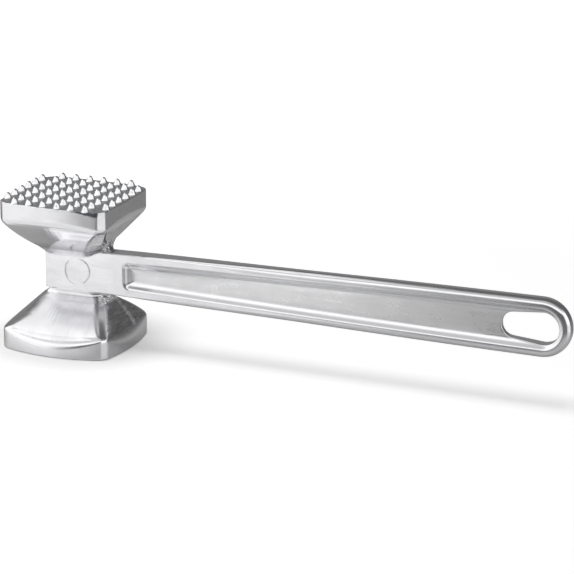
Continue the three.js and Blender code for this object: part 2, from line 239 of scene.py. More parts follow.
# How far a point lies outside the neck plate, with the shallow ring mark in its front
def neckDepth(x, y, z):
    ring = np.hypot(x - neck["markAlong"], z - neck["markHeight"]) - neck["markRadius"]
    groove = np.clip(1 - np.abs(ring) / (neck["markWidth"] / 2), 0, 1)
    groove = groove * groove * (3 - 2 * groove) * neck["markDepth"] * (y < 0)
    edge = neck["edgeRound"]
    fromY = np.abs(y) - (neck["halfThick"] - edge)
    fromZ = np.abs(z - neck["axisHeight"]) - (neck["halfHeight"] - edge)
    plate = np.hypot(np.maximum(fromY, 0), np.maximum(fromZ, 0))
    plate = plate + np.minimum(np.maximum(fromY, fromZ), 0) - edge
    return blendMax(plate, -neck["left"] - x, edge) + groove


def castDepth(points):
    x, y, z = points[..., 0], points[..., 1], points[..., 2]
    heads = np.minimum(headDepth(x, y, z, upperHead), headDepth(x, y, z, lowerHead))
    return blendMin(heads, neckDepth(x, y, z), casting["neckJoin"])


def slopeOf(points, depth, step=0.02):
    slope = np.empty_like(points)
    for axis in range(3):
        move = np.zeros(3)
        move[axis] = step
        slope[:, axis] = (depth(points + move) - depth(points - move)) / (2 * step)
    return slope


# Move points onto the surface along its slope
def settle(points, depth, rounds=3, most=0.2):
    for _ in range(rounds):
        slope = slopeOf(points, depth)
        share = depth(points) / np.maximum((slope * slope).sum(1), 0.05)
        move = slope * share[:, None]
        length = np.linalg.norm(move, axis=1, keepdims=True)
        points = points - move * np.minimum(1, most / np.maximum(length, 1e-9))
    return points


# A closed net of quads round the space where the depth is below nought
def netAround(depth, low, high, step):
    axes = [np.arange(a, b + step, step) for a, b in zip(low, high)]
    grid = np.stack(np.meshgrid(*axes, indexing="ij"), -1)
    values = depth(grid)
    inside = values < 0
    counts = np.array(values.shape) - 1
    total = np.zeros((*counts, 3))
    hits = np.zeros(counts)
    crossings = []
    for axis in range(3):
        first = tuple(slice(0, -1) if k == axis else slice(None) for k in range(3))
        second = tuple(slice(1, None) if k == axis else slice(None) for k in range(3))
        a, b = values[first], values[second]
        crossed = inside[first] != inside[second]
        share = np.where(crossed, a / np.where(crossed, a - b, 1), 0)
        place = grid[first].copy()
        place[..., axis] += share * step
        place *= crossed[..., None]
        one, two = (k for k in range(3) if k != axis)
        for i in (0, 1):
            for j in (0, 1):
                window = [slice(None)] * 3
                window[one] = slice(i, i + counts[one])
                window[two] = slice(j, j + counts[two])
                total += place[tuple(window)]
                hits += crossed[tuple(window)]
        crossings.append((axis, one, two, crossed, inside[first]))
    used = hits > 0
    number = np.full(counts, -1)
    number[used] = np.arange(used.sum())
    points = total[used] / hits[used][:, None]
    quads = []
    for axis, one, two, crossed, insideFirst in crossings:
        at = np.argwhere(crossed)
        keep = (at[:, one] > 0) & (at[:, two] > 0)
        keep &= (at[:, one] < counts[one]) & (at[:, two] < counts[two])
        at = at[keep]
        corner = []
        for i, j in ((1, 1), (0, 1), (0, 0), (1, 0)):
            cell = at.copy()
            cell[:, one] -= i
            cell[:, two] -= j
            corner.append(number[cell[:, 0], cell[:, 1], cell[:, 2]])
        quad = np.stack(corner, 1)
        turned = insideFirst[at[:, 0], at[:, 1], at[:, 2]] ^ (axis == 1)
        quad[~turned] = quad[~turned][:, ::-1]
        quads.append(quad)
    return points, np.concatenate(quads)


def newObject(name, data):
    made = bpy.data.objects.new(name, data)
    scene.collection.objects.link(made)
    return made


def makeCastHead():
    points, quads = netAround(castDepth, casting["netLow"], casting["netHigh"], casting["grid"])
    points = settle(points, castDepth)
    mesh = bpy.data.meshes.new("castHead")
    mesh.from_pydata((points * mm).tolist(), [], quads.tolist())
    bm = bmesh.new()
    bm.from_mesh(mesh)
    # finer faces along the ring mark
    near = set()
    for face in bm.faces:
        middle = face.calc_center_median() / mm
        ring = math.hypot(middle.x - neck["markAlong"], middle.z - neck["markHeight"])
        if middle.y < casting["markFront"] and abs(ring - neck["markRadius"]) < casting["markReach"]:
            near.add(face)
    edges = [edge for edge in bm.edges if not near.isdisjoint(edge.link_faces)]
    bmesh.ops.subdivide_edges(bm, edges=edges, cuts=casting["markCuts"], use_grid_fill=True)
    # the neck ends in one plane, where the handle goes on
    cutAt = Vector((neck["right"], 0, neck["axisHeight"])) * mm
    beyond = [v for v in bm.verts if abs(v.co.y) < casting["endAcross"] * mm
              and abs(v.co.z - cutAt.z) < casting["endUp"] * mm]
    touched = set(beyond)
    geometry = [*beyond, *(item for items in (bm.edges, bm.faces) for item in items
                           if not touched.isdisjoint(item.verts))]
    bmesh.ops.bisect_plane(bm, geom=geometry, plane_co=cutAt, plane_no=(1, 0, 0), clear_outer=True)
    bmesh.ops.holes_fill(bm, edges=[edge for edge in bm.edges if edge.is_boundary], sides=0)
    bmesh.ops.triangulate(bm, faces=[f for f in bm.faces if len(f.verts) > 4])
    bm.to_mesh(mesh)
    bm.free()
    places = np.empty(len(mesh.vertices) * 3)
    mesh.vertices.foreach_get("co", places)
    places = places.reshape(-1, 3) / mm
    fixed = places[:, 0] > neck["right"] - 1e-3
    settled = settle(places, castDepth, rounds=2)
    settled[fixed, 0] = places[fixed, 0]
    mesh.vertices.foreach_set("co", (settled * mm).ravel())
    slope = slopeOf(settled, castDepth)
    slope /= np.linalg.norm(slope, axis=1, keepdims=True)
    mesh.shade_smooth()
    loopVertex = np.empty(len(mesh.loops), dtype=np.int32)
    mesh.loops.foreach_get("vertex_index", loopVertex)
    loopNormals = slope[loopVertex]
    for face in mesh.polygons:
        if face.normal.x > 0.99 and all(fixed[v] for v in face.vertices):
            loopNormals[face.loop_start:face.loop_start + face.loop_total] = (1, 0, 0)
    mesh.normals_split_custom_set(loopNormals.tolist())
    mesh.update()
    return newObject("castHead", mesh)


castHead = makeCastHead()
print("head made", len(castHead.data.polygons))


# Sizes of the handle in millimetres, the same as in the solids
handle = {
    "end": 235.5, "endHalfHeight": 13.3, "growth": 1.5, "rim": 3.9, "slope": 3.2,
    "rootRound": 0.8, "gripRound": 3.55, "gripReach": 3.3, "roundBy": 0.5,
    "recessStart": 26.4, "recessCorner": 2.8, "recessDepth": 2.5, "crest": 0.6, "foot": 1.8,
    "footSpare": 0.35, "webFrom": 34.0, "webTo": 198.0,
    "holeStart": 204.2, "holeEnd": 230.3, "holeSmall": 5.7, "holeLarge": 7.1, "holeDrop": 0.2,
    "holeRound": 0.7, "holeWithin": 20.0, "webFaces": 1.7,
    # the rows of points from the outer edge to the axis, and the stations along the handle
    "turnRows": 10, "landRows": (0.25, 0.5, 0.75, 0.92),
    "crestRows": (-0.3, -0.15, 0, 0.12, 0.25, 0.45, 0.7, 1.1),
    "slopeRows": (1.5, 1.9, 2.2, 2.5, 2.75, 3.0), "webRows": (1, 0.8, 0.5, 0.2),
    "rootStations": 5, "rootTo": 4.4, "fineFrom": 4.6, "fineTo": 31.2, "fineStep": 0.3, "lastFine": 32.5,
    "webStations": 70, "loopStations": 16, "loopTurns": 49, "lipRows": 7,
}
endCentre = handle["end"] - handle["endHalfHeight"]


def handleShare(x):
    return np.clip((x - neck["right"]) / (endCentre - neck["right"]), 0, 1)


def halfHeightAt(x):
    grown = 1 - (1 - handleShare(x)) ** handle["growth"]
    return between(neck["halfHeight"], handle["endHalfHeight"], grown)


def roundingAt(x):
    share = np.clip(handleShare(x) / handle["roundBy"], 0, 1)
    share = share * share * (3 - 2 * share)
    return (between(handle["rootRound"], handle["gripRound"], share),
            between(handle["rootRound"], handle["gripReach"], share))


# Half the thickness of the handle at a place on its side, z measured from its axis
def handleFront(x, z):
    past = np.maximum(x - endCentre, 0)
    inset = halfHeightAt(x) - np.hypot(past, z)
    width, reach = roundingAt(x)
    turn = np.clip(1 - inset / width, 0, 1)
    thick = neck["halfThick"] - reach * (1 - np.sqrt(np.maximum(1 - turn * turn, 0)))
    fromRim = inset - handle["rim"]
    fromStart = x - handle["recessStart"]
    corner = handle["recessCorner"]
    both = (fromRim < corner) & (fromStart < corner)
    rounded = corner - np.hypot(corner - fromRim, corner - fromStart)
    into = np.where(both, rounded, np.minimum(fromRim, fromStart))
    steep = handle["recessDepth"] / (handle["slope"] - handle["footSpare"])
    depth = blendMax(blendMin(into * steep, handle["recessDepth"], handle["foot"]), 0, handle["crest"])
    return thick - np.maximum(depth - handle["crest"] / 4 * (into < -1), 0)


def holeOutline(angles, middle):
    smallX = handle["holeStart"] + handle["holeSmall"]
    largeX = handle["holeEnd"] - handle["holeLarge"]
    ways = np.stack([np.cos(angles), np.sin(angles)], -1)
    low, high = np.zeros(len(angles)), np.full(len(angles), handle["holeWithin"])
    lean = (handle["holeLarge"] - handle["holeSmall"]) / (largeX - smallX)
    for _ in range(40):
        far = (low + high) / 2
        x = middle + ways[:, 0] * far
        z = np.abs(ways[:, 1] * far)
        along = np.clip((x - smallX + z * lean) / (largeX - smallX), 0, 1)
        centreX = between(smallX, largeX, along)
        radius = between(handle["holeSmall"], handle["holeLarge"], along)
        outside = np.hypot(x - centreX, z) > radius
        high = np.where(outside, far, high)
        low = np.where(outside, low, far)
    return ways, low


# A grid of points as faces, left out where the mask says so
def addGrid(points, faces, places, mask=None, closed=False, flip=False):
    rows, columns = places.shape[:2]
    start = sum(len(part) for part in points)
    points.append(places.reshape(-1, 3))
    for row in range(rows - 1):
        for column in range(columns if closed else columns - 1):
            if mask is not None and mask[row, column]:
                continue
            after = (column + 1) % columns
            a, b = start + row * columns + column, start + row * columns + after
            c, d = b + columns, a + columns
            faces.append((d, c, b, a) if flip else (a, b, c, d))


def sidePlaces(x, z, thick, side):
    return np.stack([x, side * thick, z + neck["axisHeight"]], -1)


def finishShell(name, points, faces, sharp=0.6, weld=0.002, sliver=0.0005):
    mesh = bpy.data.meshes.new(name)
    mesh.from_pydata((np.concatenate(points) * mm).tolist(), [], faces)
    bm = bmesh.new()
    bm.from_mesh(mesh)
    bmesh.ops.remove_doubles(bm, verts=bm.verts, dist=weld * mm)
    bmesh.ops.dissolve_degenerate(bm, edges=bm.edges, dist=sliver * mm)
    bmesh.ops.recalc_face_normals(bm, faces=bm.faces)
    for face in bm.faces:
        face.smooth = True
    for edge in bm.edges:
        if len(edge.link_faces) == 2 and edge.calc_face_angle(0) > sharp:
            edge.smooth = False
    bm.to_mesh(mesh)
    print(name, "open edges:", sum(1 for edge in bm.edges if not edge.is_manifold))
    bm.free()
    return newObject(name, mesh)


def makeHandle():
    rim, webTo = handle["rim"], handle["webTo"]
    turns = np.linspace(0, math.pi / 2, handle["turnRows"])
    crest = rim + np.array(handle["crestRows"])
    slopeRows = rim + np.array(handle["slopeRows"])

    def insetsAt(x):
        width = roundingAt(x)[0]
        rounding = [width * (1 - math.cos(t)) for t in turns]
        land = [between(width, crest[0], share) for share in handle["landRows"]]
        return np.array([*rounding, *land, *crest])

    outerCount = len(insetsAt(webTo))
    first = np.linspace(neck["right"], neck["right"] + handle["rootTo"], handle["rootStations"])
    fine = np.arange(neck["right"] + handle["fineFrom"], handle["fineTo"], handle["fineStep"])
    even = np.linspace(handle["webFrom"], webTo, handle["webStations"])
    stations = np.array([*first, *fine, handle["lastFine"], *even])
    columns = []
    for x in stations:
        half = halfHeightAt(x)
        webHalf = half - rim - handle["slope"]
        top = [*(half - insetsAt(x)), *(half - slopeRows), *(webHalf * share for share in handle["webRows"])]
        columns.append([*top, 0, *[-z for z in reversed(top)]])
    alongZ = np.array(columns).T
    alongX = np.broadcast_to(stations, alongZ.shape)
    thick = handleFront(alongX, alongZ)
    # the web starts where the slope ends, and runs on to the last station
    webTop = outerCount + len(slopeRows)
    webStart = int(np.argmin(abs(stations - handle["webFrom"])))
    window = (slice(webTop, len(alongZ) - webTop), slice(webStart, None))
    mask = np.zeros((len(alongZ) - 1, len(stations) - 1), dtype=bool)
    mask[webTop:len(alongZ) - 1 - webTop, webStart:] = True

    shell, web, blocks = ([], []), ([], []), []
    for side in (-1, 1):
        places = sidePlaces(alongX, alongZ, thick, side)
        addGrid(*shell, places, mask=mask, flip=side > 0)
        blocks.append(places[window])
        addGrid(*web, blocks[-1], flip=side > 0)
    # the walls between the rails and the web, out of sight
    for pick in (np.s_[0], np.s_[-1], np.s_[:, 0], np.s_[:, -1]):
        wall = np.stack([block[pick] for block in blocks])
        addGrid(*shell, wall)
        addGrid(*web, wall)

    # the hairpin of outer rows round the end
    straight = np.linspace(webTo, endCentre, handle["loopStations"])
    angles = np.linspace(math.pi / 2, -math.pi / 2, handle["loopTurns"])[1:-1]
    rises = np.array([halfHeightAt(x) - insetsAt(x) for x in straight]).T
    radii = handle["endHalfHeight"] - insetsAt(endCentre)
    outerX = np.array([[*straight, *(endCentre + radius * np.cos(angles)), *straight[::-1]]
                       for radius in radii])
    outerZ = np.array([[*rise, *(radius * np.sin(angles)), *-rise[::-1]] for rise, radius in zip(rises, radii)])
    outerY = handleFront(outerX, outerZ)
    # the ring between those rows and the hang hole
    seam = alongZ[outerCount:len(alongZ) - outerCount, -1][::-1]
    loopX = np.array([*outerX[-1], *np.full(len(seam), webTo)])
    loopZ = np.array([*outerZ[-1], *seam])
    middle = (handle["holeStart"] + handle["holeEnd"]) / 2
    ways, reach = holeOutline(np.arctan2(loopZ + handle["holeDrop"], loopX - middle), middle)
    holeX = middle + ways[:, 0] * reach
    holeZ = ways[:, 1] * reach - handle["holeDrop"]
    edge = handle["holeRound"]
    innerX, innerZ = holeX + ways[:, 0] * edge, holeZ + ways[:, 1] * edge
    shares = [*np.linspace(0, 0.9, 12), 0.97, 1]  # closer together at the hole
    ringX = np.array([between(loopX, innerX, share) for share in shares])
    ringZ = np.array([between(loopZ, innerZ, share) for share in shares])
    ringY = handleFront(ringX, ringZ)
    lastY = ringY[-1]
    lip = [(edge * (1 - math.sin(t)), edge * (1 - math.cos(t)))
           for t in np.linspace(0, math.pi / 2, handle["lipRows"])]
    for side in (-1, 1):
        addGrid(*shell, sidePlaces(outerX, outerZ, outerY, side), flip=side > 0)
        addGrid(*shell, sidePlaces(ringX, ringZ, ringY, side), closed=True, flip=side > 0)
        lipRows = [sidePlaces(holeX + ways[:, 0] * out, holeZ + ways[:, 1] * out, lastY - down, side)
                   for out, down in lip]
        addGrid(*shell, np.stack(lipRows), closed=True, flip=side > 0)
    bore = [sidePlaces(holeX, holeZ, (lastY - edge) * share, 1) for share in (-1, -0.4, 0.4, 1)]
    addGrid(*shell, np.stack(bore), closed=True)
    # the narrow flat along the outer edge, and the plane where the handle meets the neck
    for x, z, y in ((alongX[0], alongZ[0], thick[0]), (outerX[0], outerZ[0], outerY[0]),
                    (alongX[-1], alongZ[-1], thick[-1]), (alongX[:, 0], alongZ[:, 0], thick[:, 0])):
        addGrid(*shell, np.stack([sidePlaces(x, z, y * share, 1) for share in (-1, 0, 1)]))
    return finishShell("handleFrame", *shell), finishShell("handleWeb", *web)


handleFrame, handleWeb = makeHandle()
print("handle made", len(handleFrame.data.polygons), len(handleWeb.data.polygons))


# The teeth, set out and shaped by geometry nodes
teeth = {
    "rows": 8, "pitchX": 7.0, "pitchY": 6.85, "bed": 69.4, "sink": 0.3,
    "baseRadius": 2.25, "height": 2.95, "spread": 0.05, "lean": 0.035, "seed": 7,
    # width and height of the side of a tooth from its foot to its top
    "width": [(0, 1), (0.1, 0.89), (0.25, 0.765), (0.42, 0.64), (0.6, 0.515), (0.72, 0.422), (0.83, 0.31),
              (0.93, 0.187), (1, 0.02)],
    "rise": [(0, 0), (0.1, 0.1), (0.25, 0.27), (0.42, 0.475), (0.6, 0.68), (0.72, 0.81), (0.83, 0.915),
             (0.93, 0.976), (1, 1)],
    # the faces of a tooth, and how far one may be turned about itself against its lean
    "sides": 20, "steps": 14, "turn": 60,
}
toothLengths = ("pitchX", "pitchY", "bed", "sink", "baseRadius", "height")


def makeToothTree():
    sockets = {name: "Float" for name in (*toothLengths, "spread", "lean")}
    sockets.update({"rows": "Int", "seed": "Int", "finish": "Material"})
    tree, given = newGroup("toothField", "GeometryNodeTree", sockets, {"teeth": "Geometry"})
    last = minus(tree, given["rows"], 1.0)
    across = [product(tree, last, given[name]) for name in ("pitchX", "pitchY")]
    field = addNode(tree, "GeometryNodeMeshGrid", {
        "Size X": across[0], "Size Y": across[1], "Vertices X": given["rows"], "Vertices Y": given["rows"]})
    # the bed's four corners stay bare
    spot = splitVector(tree, addNode(tree, "GeometryNodeInputPosition").outputs[0])
    outer = [maths(tree, "GREATER_THAN", maths(tree, "ABSOLUTE", at), product(tree, length, 0.49))
             for at, length in zip(spot, across)]
    bare = addNode(tree, "GeometryNodeDeleteGeometry", {
        "Geometry": field.outputs[0], "Selection": product(tree, *outer)}, domain="POINT")
    # one tooth: a cylinder of rings, drawn in along two curves
    blank = addNode(tree, "GeometryNodeMeshCylinder", {
        "Vertices": teeth["sides"], "Side Segments": teeth["steps"], "Fill Segments": 1,
        "Radius": 1.0, "Depth": 1.0}, fill_type="TRIANGLE_FAN")
    level = maths(tree, "ADD", spot[2], 0.5)

    def curveOf(points):
        made = addNode(tree, "ShaderNodeFloatCurve", {"Value": level})
        curve = made.mapping.curves[0]
        curve.points[0].location = points[0]
        curve.points[1].location = points[-1]
        for point in points[1:-1]:
            curve.points.new(*point)
        made.mapping.update()
        return made.outputs[0]

    wide = product(tree, curveOf(teeth["width"]), given["baseRadius"])
    high = product(tree, curveOf(teeth["rise"]), given["height"])
    shaped = joinVector(tree, product(tree, spot[0], wide), product(tree, spot[1], wide), high)
    tooth = addNode(tree, "GeometryNodeSetPosition", {"Geometry": blank.outputs[0], "Position": shaped})
    tooth = addNode(tree, "GeometryNodeSetShadeSmooth", {"Geometry": tooth.outputs[0]})

    def spread(turn, shift, share):
        seed = maths(tree, "ADD", given["seed"], shift)
        drawn = addNode(tree, "FunctionNodeRandomValue", {
            "Min": (-1, -1, -turn), "Max": (1, 1, turn), "Seed": seed}, data_type="FLOAT_VECTOR")
        return vectorMaths(tree, "SCALE", drawn.outputs[0], scale=share)

    size = vectorMaths(tree, "ADD", spread(1, 0.0, given["spread"]), (1, 1, 1))
    lean = spread(teeth["turn"], 3.0, given["lean"])
    field = addNode(tree, "GeometryNodeInstanceOnPoints", {
        "Points": bare.outputs[0], "Instance": tooth.outputs[0], "Rotation": lean, "Scale": size})
    lift = joinVector(tree, 0.0, 0.0, minus(tree, given["bed"], given["sink"]))
    lifted = addNode(tree, "GeometryNodeTransform", {"Geometry": field.outputs[0], "Translation": lift})
    real = addNode(tree, "GeometryNodeRealizeInstances", {0: lifted.outputs[0]})
    done = addNode(tree, "GeometryNodeSetMaterial", {
        "Geometry": real.outputs[0], "Material": given["finish"]})
    addNode(tree, "NodeGroupOutput", {"teeth": done.outputs[0]})
    return tree


def makeTeeth(finish):
    tree = makeToothTree()
    holder = newObject("teeth", bpy.data.meshes.new("teethStart"))
    modifier = holder.modifiers.new("field", "NODES")
    modifier.node_group = tree
    for item in tree.interface.items_tree:
        if item.in_out == "INPUT":
            value = finish if item.name == "finish" else teeth[item.name]
            modifier[item.identifier] = value * mm if item.name in toothLengths else value
    bpy.context.view_layer.update()
    evaluated = holder.evaluated_get(bpy.context.evaluated_depsgraph_get())
    mesh = bpy.data.meshes.new_from_object(evaluated)
    holder.modifiers.remove(modifier)
    holder.data = mesh
    mesh.name = "teeth"
    return holder


# Finishes. One without slope or calm has the same streaks on its slanted sides
finishes = {
    "head": {"tone": (0.91, 0.909, 0.926), "darkTone": (0.82, 0.82, 0.835), "rough": (0.15, 0.27),
             "streakSize": 420, "streakDepth": 0.00009, "waveSize": 60, "waveDepth": 0.00013,
             "flat": (0.2, 1, 1), "slope": (1, 0.12, 0.12), "calm": 0.35, "specks": 0.4},
    "teeth": {"tone": (0.92, 0.925, 0.935), "darkTone": (0.84, 0.845, 0.86), "rough": (0.2, 0.3),
              "streakSize": 900, "streakDepth": 0.00002, "waveSize": 200, "waveDepth": 0.0001,
              "flat": (1, 1, 1), "specks": 0.3},
    "bed": {"tone": (0.68, 0.685, 0.695), "darkTone": (0.48, 0.485, 0.495), "rough": (0.5, 0.6),
            "streakSize": 900, "streakDepth": 0.00004, "waveSize": 200, "waveDepth": 0.0002,
            "flat": (1, 1, 1), "specks": 0.5},
    "handle": {"tone": (0.875, 0.874, 0.892), "darkTone": (0.79, 0.79, 0.806), "rough": (0.14, 0.24),
               "streakSize": 420, "streakDepth": 0.000012, "waveSize": 40, "waveDepth": 0.00008,
               "flat": (0.06, 1, 1), "specks": 0.25},
    "web": {"tone": (0.965, 0.964, 0.975), "darkTone": (0.83, 0.83, 0.84), "rough": (0.22, 0.38),
            "streakSize": 500, "streakDepth": 0.000016, "waveSize": 45, "waveDepth": 0.00014,
            "flat": (0.12, 1, 1), "specks": 0.02},
}
# What the finishes share: where a side counts as slanted, and how dull patches and specks are drawn
skin = {
    "slanted": (0.3, 0.5), "streakDetail": (4.0, 0.6), "waveDetail": (1.5, 0.4), "patchDetail": (3.0, 0.55),
    "patchSize": 1.7, "dull": (0.28, 0.72), "dullShare": 0.6, "speckSize": 1.5, "speckRough": 0.15,
    "speckAcross": (0.05, 0.3), "speckGroups": 0.21,
}
# Hand work on the head, and light and shade painted on it, in metres and in tones
handworkAndPaintedLight = {
    # the upper wall ground along its top edge, toward the right corner, with a near-black tone painted on it as
    # the dark reflection there
    "wander": 0.0006, "wanderSize": 900.0, "groundFrom": 0.0085, "groundTo": 0.0236, "groundDeep": 0.0026,
    "groundSoft": 0.0006, "groundStart": 0.003, "groundFront": -0.023,
    "groundDarkReflectionTone": (0.14, 0.15, 0.17), "groundRough": 0.2,
    # a paler stroke down the right side of the lower taper
    "strokeAt": 0.0058, "strokeHalf": 0.0022, "strokeCore": 0.3, "strokeRight": 0.0175,
    "strokeFoot": (0.008, 0.011), "strokeTop": 0.021, "strokeRough": 0.5,
    # painted shade in the corners where the heads meet the neck, and a clearer underside
    "cornerReach": 0.0055, "footShare": 0.3, "cornerShare": 0.75, "cornerShadeTone": (0.4, 0.4, 0.42),
    "under": (-0.3, -0.5), "clearBelow": 0.45,
    # rough little nicks beside the handle, bumped, with a paler tone painted on them as their highlight
    "nickAlong": 0.016, "nickBack": -0.002, "nickAside": 0.0033, "nickRise": 0.0024,
    "nickAcross": (0.0013, 0.0029), "nickSize": 900, "nickDepth": 0.004, "nickHighlightTone": (0.97, 0.97, 0.98),
    "nickShine": -0.5,
    # darker streaks drawn as coarser wheel marks on the right-facing slopes, partly painted shade, and painted
    # shade most of all on the downward facet under the right corner
    "scored": 0.8, "scoredShadeTone": (0.5, 0.5, 0.51), "scoredSize": 1500, "scoredStretch": (1, 0.12, 1),
    "scoredMarks": (0.4, 0.62), "scoredRight": (0.5, 0.65), "facet": (0.39, -0.39, -0.834),
    "facetAcross": (0.93, 0.965),
}


# Shared effect: fine polishing streaks, drawn out along one way, and the slow waves of hand work
def makePolishGroup():
    tree, given = newGroup("handPolish", "ShaderNodeTree", {
        "Place": "Vector", "Stretch": "Vector", "Streak Size": "Float", "Wave Size": "Float"}, {
        "Streaks": "Float", "Waves": "Float", "Dullness": "Float"})
    drawn = vectorMaths(tree, "MULTIPLY", given["Place"], given["Stretch"])
    fine = noise(tree, drawn, given["Streak Size"], *skin["streakDetail"])
    waves = noise(tree, given["Place"], given["Wave Size"], *skin["waveDetail"])
    patchSize = product(tree, given["Wave Size"], skin["patchSize"])
    patches = noise(tree, given["Place"], patchSize, *skin["patchDetail"])
    dull = timesPlus(tree, fine, 0.5, product(tree, patches, 0.5))
    addNode(tree, "NodeGroupOutput", {
        "Streaks": fine, "Waves": waves, "Dullness": ramp(tree, dull, *skin["dull"])})
    return tree


# Shared effect: small pits and specks of the casting skin
def makeSpeckGroup():
    tree, given = newGroup("castSpecks", "ShaderNodeTree", {
        "Place": "Vector", "Size": "Float", "Amount": "Float"}, {"Specks": "Float"})
    cells = addNode(tree, "ShaderNodeTexVoronoi", {"Vector": given["Place"], "Scale": given["Size"]})
    chosen = noise(tree, given["Place"], product(tree, given["Size"], skin["speckGroups"]), 2.0)
    spot = ramp(tree, cells.outputs["Distance"], *skin["speckAcross"], 1.0, 0.0)
    keep = ramp(tree, chosen, minus(tree, 1.0, given["Amount"]), 1.0)
    addNode(tree, "NodeGroupOutput", {"Specks": product(tree, spot, keep)})
    return tree


# Masks for the hand work on the head, and for the light and shade painted on it
def makeHandworkPaintedLightGroup():
    tree, given = newGroup("handWorkAndPaintedLight", "ShaderNodeTree", {"Place": "Vector"}, {
        "Ground Painted Dark": "Float", "Stroke": "Float", "Corner Shade": "Float", "Nicks And Highlight": "Float"})
    x, y, z = splitVector(tree, given["Place"])
    wander = noise(tree, given["Place"], handworkAndPaintedLight["wanderSize"], 2.0)
    jitter = timesPlus(tree, wander, handworkAndPaintedLight["wander"], -handworkAndPaintedLight["wander"] / 2)
    # the mask of the dark reflection painted along the ground bevel
    start, end = handworkAndPaintedLight["groundFrom"], handworkAndPaintedLight["groundTo"]
    deep = ramp(tree, x, start, end, 0.0, handworkAndPaintedLight["groundDeep"], kind="LINEAR")
    foot = minus(tree, upperHead["face"] * mm, deep)
    above = minus(tree, maths(tree, "ADD", z, jitter), foot)
    groundPaintedDark = product(
        tree, ramp(tree, above, 0.0, handworkAndPaintedLight["groundSoft"]),
        maths(tree, "LESS_THAN", y, handworkAndPaintedLight["groundFront"]),
        ramp(tree, x, start, start + handworkAndPaintedLight["groundStart"]), maths(tree, "LESS_THAN", x, end))
    off = minus(tree, maths(tree, "ADD", y, jitter), handworkAndPaintedLight["strokeAt"])
    half = handworkAndPaintedLight["strokeHalf"]
    stroke = product(
        tree, ramp(tree, maths(tree, "ABSOLUTE", off), half * handworkAndPaintedLight["strokeCore"], half, 1.0, 0.0),
        maths(tree, "GREATER_THAN", x, handworkAndPaintedLight["strokeRight"]),
        ramp(tree, z, *handworkAndPaintedLight["strokeFoot"]), maths(tree, "LESS_THAN", z, handworkAndPaintedLight["strokeTop"]))
    fromAxis = maths(tree, "ABSOLUTE", minus(tree, z, neck["axisHeight"] * mm))
    fromNeck = minus(tree, fromAxis, neck["halfHeight"] * mm)
    onUpper = maths(tree, "GREATER_THAN", z, neck["axisHeight"] * mm)
    # painted shade in the corner where each head meets the neck
    corner = product(
        tree, ramp(tree, fromNeck, 0.0, handworkAndPaintedLight["cornerReach"], 1.0, 0.0),
        maths(tree, "GREATER_THAN", fromNeck, 0.0),
        timesPlus(tree, onUpper, 1 - handworkAndPaintedLight["footShare"], handworkAndPaintedLight["footShare"]))
    along = timesPlus(tree, onUpper, handworkAndPaintedLight["nickBack"], x)
    spot = joinVector(
        tree, minus(tree, along, handworkAndPaintedLight["nickAlong"]),
        minus(tree, maths(tree, "ABSOLUTE", y), handworkAndPaintedLight["nickAside"]),
        minus(tree, fromNeck, handworkAndPaintedLight["nickRise"]))
    nicksAndHighlight = ramp(tree, vectorMaths(tree, "LENGTH", spot), *handworkAndPaintedLight["nickAcross"], 1.0, 0.0)
    addNode(tree, "NodeGroupOutput", {"Ground Painted Dark": groundPaintedDark, "Stroke": stroke, "Corner Shade": corner, "Nicks And Highlight": nicksAndHighlight})
    return tree


polishGroup = makePolishGroup()
handworkPaintedLightGroup = makeHandworkPaintedLightGroup()
speckGroup = makeSpeckGroup()


# The tone and roughness of the hand work, with its painted shade and highlights, laid over the head's own, and
# the mask of the nicks
def addHandworkAndPaintedLight(tree, place, normal, upright, slanted, tone, rough):
    work = addNode(tree, "ShaderNodeGroup", {"Place": place}, node_tree=handworkPaintedLightGroup).outputs
    under = ramp(tree, upright, *handworkAndPaintedLight["under"], 1.0, handworkAndPaintedLight["clearBelow"])
    rough = product(tree, rough, under)
    # painted dark reflection on the ground bevel, and a rougher finish there
    tone = mixTone(tree, work["Ground Painted Dark"], tone, (*handworkAndPaintedLight["groundDarkReflectionTone"], 1))
    rough = timesPlus(tree, work["Ground Painted Dark"], handworkAndPaintedLight["groundRough"], rough)
    # painted shade in the corners at the neck
    share = product(tree, work["Corner Shade"], handworkAndPaintedLight["cornerShare"])
    tone = mixTone(tree, share, tone, (*handworkAndPaintedLight["cornerShadeTone"], 1))
    # darker wheel-mark streaks on the right-facing slopes, partly painted shade
    drawn = vectorMaths(tree, "MULTIPLY", place, handworkAndPaintedLight["scoredStretch"])
    coarse = ramp(tree, noise(tree, drawn, handworkAndPaintedLight["scoredSize"], 2.0), *handworkAndPaintedLight["scoredMarks"])
    toRight = splitVector(tree, normal)[0]
    across = product(tree, ramp(tree, toRight, *handworkAndPaintedLight["scoredRight"]), slanted)
    tone = mixTone(tree, product(tree, coarse, across, handworkAndPaintedLight["scored"]), tone, (*handworkAndPaintedLight["scoredShadeTone"], 1))
    # painted shade on the downward facet under the right corner
    facet = ramp(tree, vectorMaths(tree, "DOT_PRODUCT", normal, handworkAndPaintedLight["facet"]), *handworkAndPaintedLight["facetAcross"])
    marks = timesPlus(tree, coarse, 0.5, 0.5)
    tone = mixTone(tree, product(tree, marks, facet), tone, (*handworkAndPaintedLight["scoredShadeTone"], 1))
    rough = timesPlus(tree, work["Stroke"], handworkAndPaintedLight["strokeRough"], rough)
    # a paler tone painted on the nicks as their highlight
    tone = mixTone(tree, work["Nicks And Highlight"], tone, (*handworkAndPaintedLight["nickHighlightTone"], 1))
    shine = timesPlus(tree, work["Nicks And Highlight"], handworkAndPaintedLight["nickShine"], 1.0)
    return tone, product(tree, rough, shine), work["Nicks And Highlight"]


